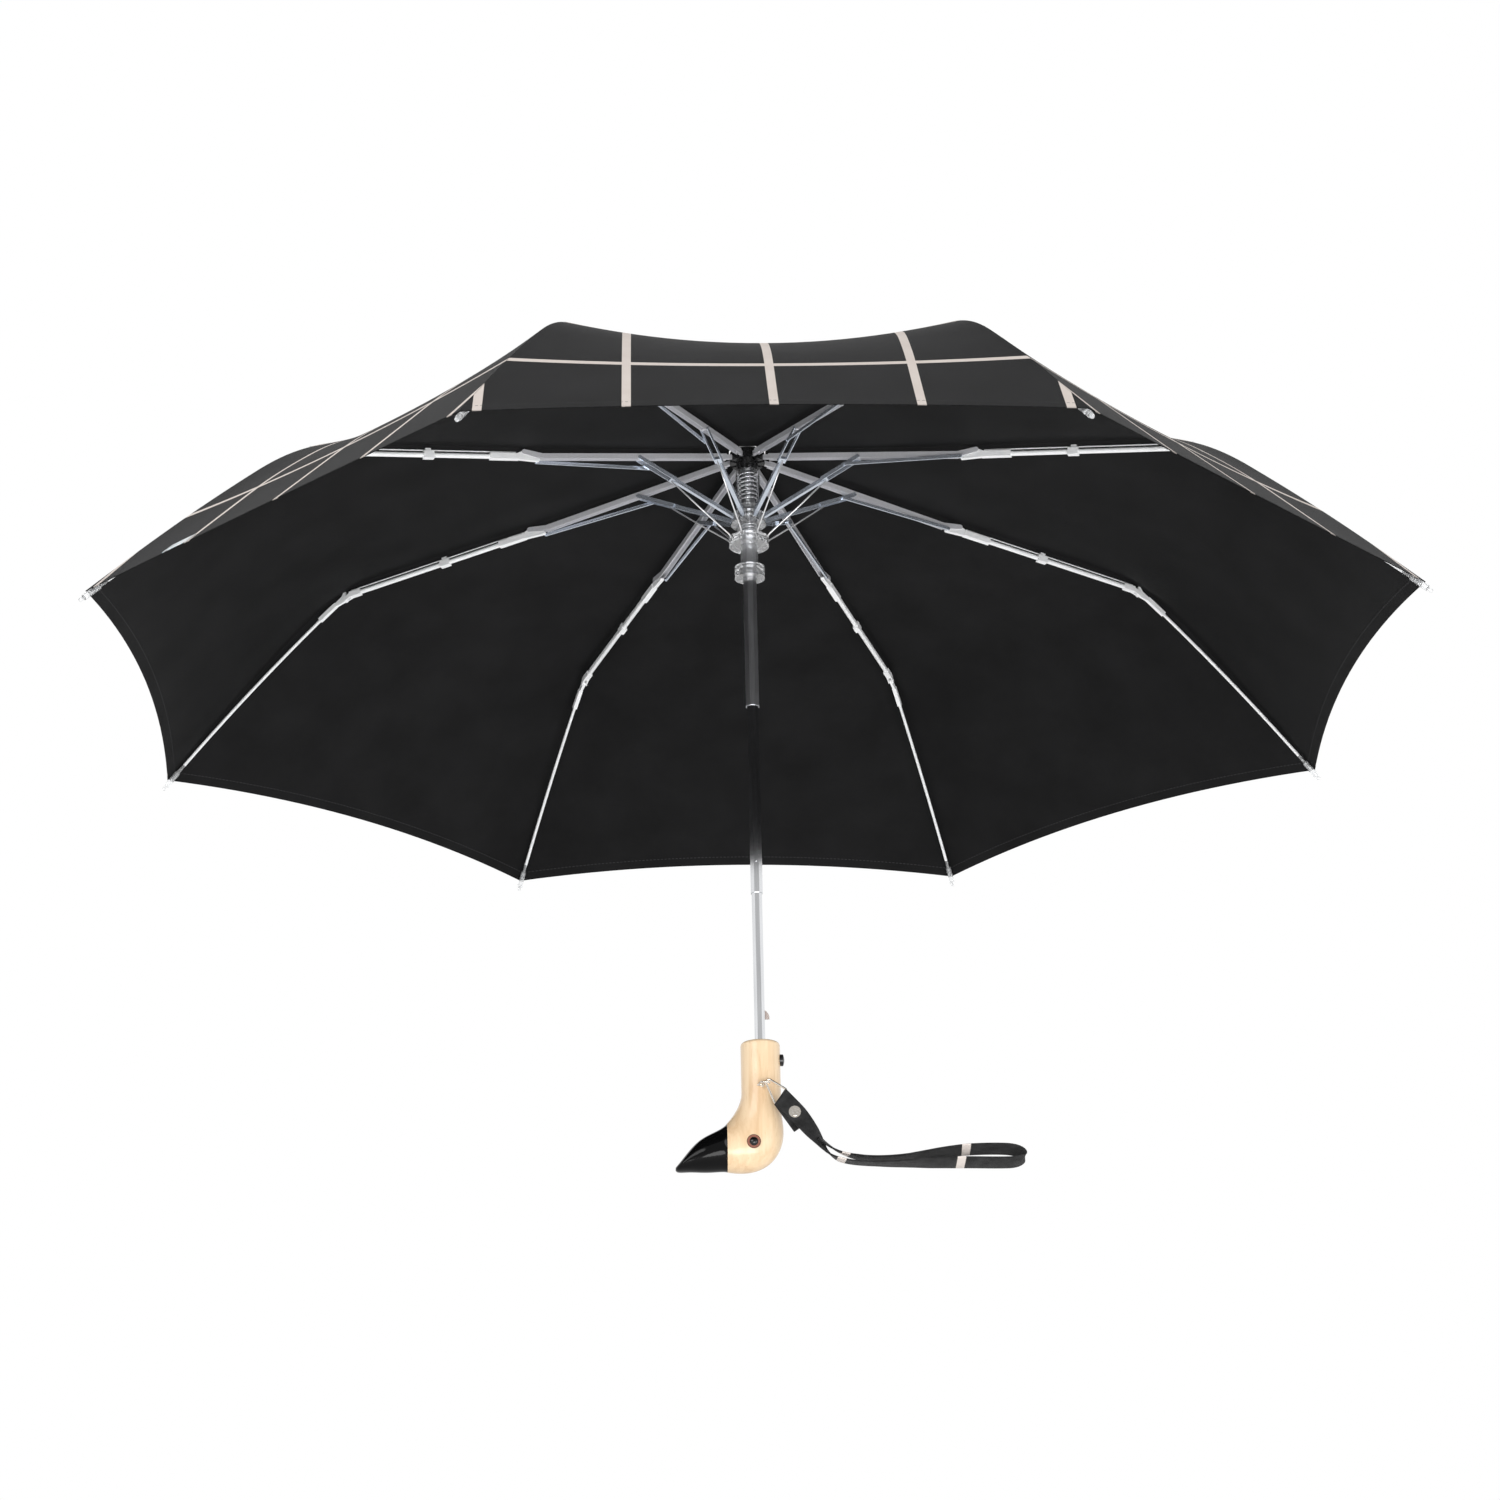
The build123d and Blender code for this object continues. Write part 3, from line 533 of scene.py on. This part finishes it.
def add_strap():
    line = smooth_line(strap_route(), "strap_line")
    at = lengths_along(line)
    stripes = []
    for a, b, distance in zip(line, line[1:], at):
        for x in STRIPE_X:
            if (a.x - x * MM) * (b.x - x * MM) < 0:
                stripes.append(float(distance))
    cloth = webbing(stripes)
    strap = ribbon("wrist_strap", line, STRAP_FACING, STRAP_W, STRAP_T)
    strap.data.materials.append(cloth)
    route = strap_route()
    start, forward = line[0], route[3] - route[0]
    forward.y = 0
    slant = (forward.normalized() - Vector(BAR_WAY) * TAIL_SLANT).normalized()
    back = Vector((0, TAIL_BEHIND, 0))
    tail_line = [start, start + back * 0.7 + slant * 0.1 * MM, start + back + slant * 0.9 * MM]
    tail_line += [start + back + slant * (3 * MM + TAIL_STEP * k) for k in range(TAIL_STEPS)]
    tail = ribbon("strap_tail", tail_line, [(0, BAR_WAY), (40, (0.70, 0.0, 0.71))], STRAP_W, STRAP_T)
    tail.data.materials.append(cloth)
    for piece in (strap, tail):
        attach(piece, "strap_ring")
        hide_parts("strap")
    print("strap length", at[-1])


# ---- canopy ----
# The rib profile is the cloth's inner face over a rib, and the middle profile is that face at a
# gore's centre, scaled out to the ribs' radius: (r, z) in millimetres at the hub, the inner elbow,
# the outer elbow and the hem.
RIB_PROFILE = [(14.8, 551.8), (180.0, 523.7), (344.5, 499.2), (491.6, 361.6)]
MIDDLE_PROFILE = [(14.8, 551.8), (179.6, 522.2), (342.5, 497.2), (479.6, 370.6)]
RIB_BLEND = [(0, 0), (0.2, 0.2), (0.16, 0.22), (0, 0)]          # how far each corner is rounded,
MIDDLE_BLEND = [(0, 0), (0.3, 0.25), (0.72, 0.6), (0, 0)]       # as shares of the legs beside it
TIP_BOW = 2.7                       # the tip leg's bulge over its rod
SCALLOP = 13 * MM
CLOTH_T = 0.5 * MM
HUB_Q = 0.065                       # where the hub's cloth meets the main ribs'


def profile_point(q, corners, blends, bow):
    """The point at q, which is 0 at the hub, 1 and 2 at the elbows and 3 at the hem."""
    corners = np.array(corners)
    leg = min(int(q), 2)
    point = corners[leg] + (corners[leg + 1] - corners[leg]) * (q - leg)
    for i in (1, 2):
        before, after = blends[i]
        if i - before < q < i + after:
            start = corners[i] + (corners[i - 1] - corners[i]) * before
            end = corners[i] + (corners[i + 1] - corners[i]) * after
            w = (q - i + before) / (before + after)
            point = (1 - w) ** 2 * start + 2 * w * (1 - w) * corners[i] + w**2 * end
    if q > 2:
        dr, dz = corners[3] - corners[2]
        normal = np.array([-dz, dr]) / np.hypot(dr, dz)
        point = point + normal * bow * sin(pi * (q - 2))
    return point


def cloth_point(q, t, gore):
    """The cloth's inner face at q along the gore whose centre has azimuth `gore`. t runs from -1 to 1."""
    r0, z0 = profile_point(q, RIB_PROFILE, RIB_BLEND, TIP_BOW)
    r1, z1 = profile_point(q, MIDDLE_PROFILE, MIDDLE_BLEND, 0)
    w = 1 - t * t
    x = cos(GORE / 2) * (r0 + (r1 - r0) * w) * MM
    y = t * sin(GORE / 2) * r0 * MM
    z = (z0 + (z1 - z0) * w) * MM
    return np.array([x * cos(gore) - y * sin(gore), x * sin(gore) + y * cos(gore), z])


def cloth_normal(q, t, gore):
    step = 1e-3
    q0, q1 = max(q - step, 0), min(q + step, 3)
    t0, t1 = max(t - step, -1), min(t + step, 1)
    along = cloth_point(q1, t, gore) - cloth_point(q0, t, gore)
    across = cloth_point(q, t1, gore) - cloth_point(q, t0, gore)
    normal = np.cross(along, across)
    return normal / np.linalg.norm(normal)


def flat_length(corners, blends, bow):
    """Distances from the hem, measured up the gore's centre line, for q from 0 to 3."""
    qs = np.linspace(0, 3, 601)
    line = np.array([profile_point(q, corners, blends, bow) for q in qs])
    line[:, 0] *= cos(GORE / 2)
    steps = np.hypot(*np.diff(line, axis=0).T)
    return qs, (steps.sum() - np.concatenate([[0], np.cumsum(steps)])) * MM


def rim_faces(rows, columns, offset, count):
    """Quads that close the edge between a grid at `offset` and its copy `count` vertices on."""
    loop = [offset + j for j in range(columns)]
    loop += [offset + i * columns + columns - 1 for i in range(1, rows)]
    loop += [offset + (rows - 1) * columns + j for j in range(columns - 2, -1, -1)]
    loop += [offset + i * columns for i in range(rows - 2, 0, -1)]
    return [(a, b, b + count, a + count) for a, b in zip(loop, loop[1:] + loop[:1])]


def closed_sheet(name, points, rows, columns):
    """A thin closed sheet from two grids of points, the lower one first."""
    count = rows * columns
    faces = grid_faces(rows, columns, 0) + grid_faces(rows, columns, count, flip=True)
    return mesh_object(name, points, faces + rim_faces(rows, columns, 0, count))


def cloth_sheet(name, azimuth, rows, columns, sides=(-1, 1)):
    """The cloth on the given sides of one rib, as thin closed sheets with their print coordinates."""
    qs, rib_flat = flat_length(RIB_PROFILE, RIB_BLEND, TIP_BOW)
    _, middle_flat = flat_length(MIDDLE_PROFILE, MIDDLE_BLEND, 0)
    points, normals, gore_uv, edge_uv = [], [], [], []
    for side in sides:
        gore = azimuth + side * GORE / 2
        ts = sorted(-side * c for c in columns)
        for q in rows:
            v0, v1 = np.interp(q, qs, rib_flat), np.interp(q, qs, middle_flat)
            r0 = profile_point(q, RIB_PROFILE, RIB_BLEND, TIP_BOW)[0]
            for t in ts:
                w = 1 - t * t
                points.append(cloth_point(q, t, gore))
                normals.append(cloth_normal(q, t, gore))
                gore_uv.append((t * sin(GORE / 2) * r0 * MM, v0 + (v1 + SCALLOP - v0) * w))
                edge_uv.append((v0 + (v1 - v0) * w, (1 - abs(t)) * sin(GORE / 2) * r0 * MM))
    points, normals = np.array(points), np.array(normals)
    count, width = len(points), len(columns)
    if normals[0][2] < 0:
        normals = -normals
    both = np.concatenate([points, points + normals * CLOTH_T])
    faces, inner = [], []
    for part in range(0, count, len(rows) * width):
        inner += grid_faces(len(rows), width, part)
        faces += grid_faces(len(rows), width, part + count, flip=True)
        faces += rim_faces(len(rows), width, part, count)
    lining_from = len(faces)
    made = mesh_object(name, both, faces + inner, np.concatenate([-normals, normals]))
    made.data.materials.append(OUTER)
    made.data.materials.append(LINING)
    slots = np.zeros(len(made.data.polygons), np.int32)
    slots[lining_from:] = 1
    made.data.polygons.foreach_set("material_index", slots)
    set_uv(made, "gore", gore_uv * 2)
    set_uv(made, "edge", edge_uv * 2)
    return made


def spaced(low, high, count, power_low=1.0, power_high=1.0):
    x = np.linspace(0, 1, count)
    x = x**power_low
    x = 1 - (1 - x) ** power_high
    return low + (high - low) * x


COLUMNS = list(np.linspace(0, 1, 13))
STRIPS = [
    ("main", spaced(HUB_Q, 1, 14)),
    ("middle", spaced(1, 2, 26, power_high=1.6)),
]
TIP_ROWS = spaced(2, 3, 30, power_low=1.5)


def gather_tip(piece, k, side):
    """Fixes cloth beside a tip rib to that rib, so that it turns with that rib."""
    azimuth = RIB_ONE + GORE * k
    outward = Vector((cos(azimuth), sin(azimuth), 0))
    sideways = Vector((-sin(azimuth), cos(azimuth), 0)) * side
    hem = outward * RIB_PROFILE[3][0] * MM + Vector((0, 0, RIB_PROFILE[3][1] * MM))
    elbow = outward * RIB_PROFILE[2][0] * MM + Vector((0, 0, RIB_PROFILE[2][1] * MM))
    middle = MIDDLE_PROFILE[3][0] * MM
    centre = (outward * cos(GORE / 2) + sideways * sin(GORE / 2)) * middle * cos(GORE / 2)
    centre.z = MIDDLE_PROFILE[3][1] * MM
    along = (hem - elbow).normalized()
    across = centre - hem
    across -= along * across.dot(along)
    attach(piece, f"tip_rib_{k + 1}")
    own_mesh(piece)


def add_canopy():
    for k in range(RIBS):
        azimuth = RIB_ONE + GORE * k
        for part, rows in STRIPS:
            cloth = cloth_sheet(f"cloth_{part}_{k + 1}", azimuth, rows, COLUMNS)
            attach(cloth, f"{part}_rib_{k + 1}")
            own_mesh(cloth)
            declare_cloth()
        for side, letter in ((-1, "a"), (1, "b")):
            cloth = cloth_sheet(f"cloth_tip_{k + 1}{letter}", azimuth, TIP_ROWS, COLUMNS, (side,))
            gather_tip(cloth, k, side)
            declare_cloth()
        hub = cloth_sheet(f"cloth_hub_{k + 1}", azimuth, spaced(0, HUB_Q, 5), COLUMNS[::2])
        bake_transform(hub)
        declare_cloth()


def declare_cloth():
    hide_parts("canopy")


LABEL_RIB = 5
LABEL_FROM = 0.60                   # the label's ends on the hem, in t on the side towards the next rib
LABEL_TO = 0.475
LABEL_RISE = 0.055                  # its height, in q


def add_label():
    """A small white label sewn flat on the hem's outside, beside the left front corner."""
    gore = RIB_ONE + GORE * (LABEL_RIB - 0.5)
    rows = np.linspace(3 - LABEL_RISE, 3, 7)
    columns = np.linspace(-LABEL_FROM, -LABEL_TO, 13)
    points, coords = [], []
    for lift in (CLOTH_T + 0.15 * MM, CLOTH_T + 0.55 * MM):
        for q in rows:
            for t in columns:
                normal = cloth_normal(q, t, gore)
                outside = 1 if normal[2] > 0 else -1
                points.append(cloth_point(q, t, gore) + normal * lift * outside)
                coords.append((t * sin(GORE / 2) * RIB_PROFILE[3][0] * MM, (3 - q) * 0.2))
    label = closed_sheet("hem_label", points, len(rows), len(columns))
    set_uv(label, "label", coords)
    label.data.materials.append(woven_label())
    gather_tip(label, LABEL_RIB - 1, 1)


# ---- springs and wires ----
BRACE_ALONG = 56 * MM               # a brace wire's end on its stretcher, from the runner's pivot
BRACE_FOOT = (13.8 * MM, 480.2 * MM)        # and its foot on the lower ring, as (r, z)
BRACE_R = 0.6 * MM
SPRING_WIRE_R = 0.5 * MM


def add_brace_wires():
    """Eight wires from the lower ring to the stretchers. Each is fixed to its stretcher and moves with it.
    """
    for k in range(RIBS):
        azimuth = RIB_ONE + GORE * k
        outward = Vector((cos(azimuth), sin(azimuth), 0))
        foot = outward * BRACE_FOOT[0] + Vector((0, 0, BRACE_FOOT[1]))
        start = joint_at[f"stretcher_{k + 1}_pivot"]
        end = joint_at[f"tie_bar_{k + 1}_pivot"]
        run = (end - start).normalized()
        normal = (Vector((0, 0, 1)) - run * run.z).normalized()
        top = start + run * BRACE_ALONG - normal * 1.9 * MM
        knee = foot + (top - foot) * 0.06 + Vector((0, 0, 0.8 * MM))
        wire = tube(f"brace_wire_{k + 1}", [foot, knee, (foot + top) / 2, top], BRACE_R)
        wire.data.materials.append(STEEL_WIRE)
        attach(wire, f"stretcher_{k + 1}")
        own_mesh(wire)
        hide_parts("brace_wires")


def add_spring(node, look, turns, body):
    """A coil in the place of a CAD spring, fixed to the given body and moving with it."""
    low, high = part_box(node)
    steps, wire = 20, SPRING_WIRE_R
    radius = (high.x - low.x) / 2 - wire
    rise = high.z - low.z - 2 * wire
    line = []
    for i in range(turns * steps + 1):
        a = 2 * pi * i / steps
        line.append((radius * cos(a), radius * sin(a), low.z + wire + rise * i / (turns * steps)))
    spring = tube(f"{node}_coil", line, wire, 8)
    spring.data.materials.append(look)
    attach(spring, body)
    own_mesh(spring)
    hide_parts(node)


# ---- stage ----
def add_floor():
    half = FLOOR_HALF
    points = [(-half, -half, FLOOR_Z), (half, -half, FLOOR_Z), (half, half, FLOOR_Z), (-half, half, FLOOR_Z)]
    floor = mesh_object("floor", points, [(0, 1, 2, 3)])
    paint = material("floor_paint", Roughness=0.8)
    n = Nodes(paint)
    cloud = n.noise(n.position(), 3, 2)
    n.set("Base Color", n.ramp(cloud, [(0.3, (0.80, 0.80, 0.80)), (0.7, (0.83, 0.83, 0.83))]))
    floor.data.materials.append(paint)


def dress(looks):
    """Gives each named CAD node its finished material."""
    for name, node in frame["nodes"].items():
        look = looks.get(name) or looks.get(name.rstrip("0123456789").rstrip("_"))
        if look:
            node.data.materials.clear()
            node.data.materials.append(look)
            for face in node.data.polygons:
                face.material_index = 0


def dress_end(name, look, chosen):
    """Gives a second material to the faces of one CAD node whose centre is chosen."""
    node = frame["nodes"][name]
    node.data.materials.append(look)
    for face in node.data.polygons:
        if chosen(node.matrix_world @ face.center):
            face.material_index = 1


# ---- the scene ----
add_camera()
add_world(0.52, 1.0)
scene.view_settings.view_transform = "Standard"
add_light("key", (-1.6, -2.2, 0.9), (0, 0, 0.3), 1.6, 27)
add_light("fill", (1.9, -1.4, -0.2), (0, 0, 0.3), 1.4, 15)
add_light("low", (0.2, -1.2, -0.55), (0, 0, 0.5), 1.0, 18)
add_strap()

CHROME = metal("chrome", (0.80, 0.81, 0.83), (0.92, 0.93, 0.95), 0.06, 0.13, (1, 1, 0.05), 700)
TUBE_STEEL = metal("tube_steel", (0.62, 0.62, 0.64), (0.76, 0.77, 0.79), 0.28, 0.36, (1, 1, 0.05), 700)
RIB_STEEL = metal("rib_steel", (0.60, 0.60, 0.63), (0.72, 0.72, 0.75), 0.30, 0.42, scale=1500, metallic=0.3)
ZINC = metal("zinc", (0.62, 0.68, 0.77), (0.76, 0.81, 0.89), 0.18, 0.30, scale=1500, metallic=0.75)
STEEL_WIRE = metal("wire_steel", (0.80, 0.80, 0.81), (0.92, 0.92, 0.93), 0.2, 0.3, metallic=0.6)
SPRING = metal("spring_steel", (0.72, 0.73, 0.75), (0.88, 0.89, 0.91), 0.12, 0.22, metallic=0.8)
DARK_STEEL = metal("dark_steel", (0.06, 0.06, 0.065), (0.16, 0.16, 0.17), 0.25, 0.4)
NICKEL = metal("warm_nickel", (0.70, 0.65, 0.58), (0.90, 0.85, 0.78), 0.10, 0.25)
WHITE = plastic("white_plastic", (0.90, 0.91, 0.92), (0.96, 0.965, 0.97), 0.25, 0.4,
                Subsurface_Weight=0.15, Subsurface_Radius=(0.002, 0.002, 0.002))
CLEAR = plastic("clear_plastic", (0.93, 0.94, 0.96), (0.98, 0.985, 0.99), 0.02, 0.08,
                Transmission_Weight=0.9, IOR=1.45, Coat_Weight=1.0, Coat_Roughness=0.02)
SLEEVE = plastic("clear_sleeve", (0.97, 0.975, 0.98), (0.99, 0.99, 0.995), 0.01, 0.04,
                 Transmission_Weight=1.0, IOR=1.06, Coat_Weight=0.3, Coat_Roughness=0.02)
CAP = plastic("clear_cap", (0.90, 0.91, 0.92), (0.96, 0.965, 0.97), 0.05, 0.12,
              Transmission_Weight=0.8, IOR=1.3)
BLACK = plastic("black_plastic", (0.006, 0.006, 0.006), (0.014, 0.014, 0.015), 0.2, 0.35)
TAUPE = plastic("latch_nylon", (0.34, 0.28, 0.26), (0.46, 0.39, 0.36), 0.3, 0.45)
OUTER = canopy_cloth("canopy_print", (0.014, 0.014, 0.0145), (0.019, 0.019, 0.020), True, 0.03, 0.02)
LINING = canopy_cloth("canopy_lining", (0.010, 0.010, 0.0103), (0.014, 0.014, 0.0145), False, 0.04, 0.0)

CAP_R = 477.5 * MM                  # the ribs' clear caps lie beyond this radius
SLEEVE_Z = 509.2 * MM               # the runner's clear spring sleeve lies above this height

dress({
    "handle": wood(), "beak": lacquer(), "eyes": eye(), "push_button": BLACK, "shaft_latch": TAUPE,
    "strap_staple": NICKEL, "strap_ring": NICKEL, "strap_snap": NICKEL, "lower_tube": CHROME,
    "middle_tube": CHROME, "top_tube": TUBE_STEEL, "crown": BLACK, "runner": CLEAR,
    "runner_spring": SPRING, "lower_ring": CLEAR, "main_rib": RIB_STEEL, "stretcher": ZINC,
    "tie_bar": ZINC, "middle_rib": WHITE, "tip_rib": WHITE,
})
for k in range(RIBS):
    dress_end(f"tip_rib_{k + 1}", CAP, lambda at: at.xy.length > CAP_R)
dress_end("runner", SLEEVE, lambda at: at.z > SLEEVE_Z)
add_canopy()
add_label()
add_brace_wires()
add_spring("lower_spring", SPRING, 4, "runner")
add_spring("drive_spring", DARK_STEEL, 27, "middle_tube")
add_floor()
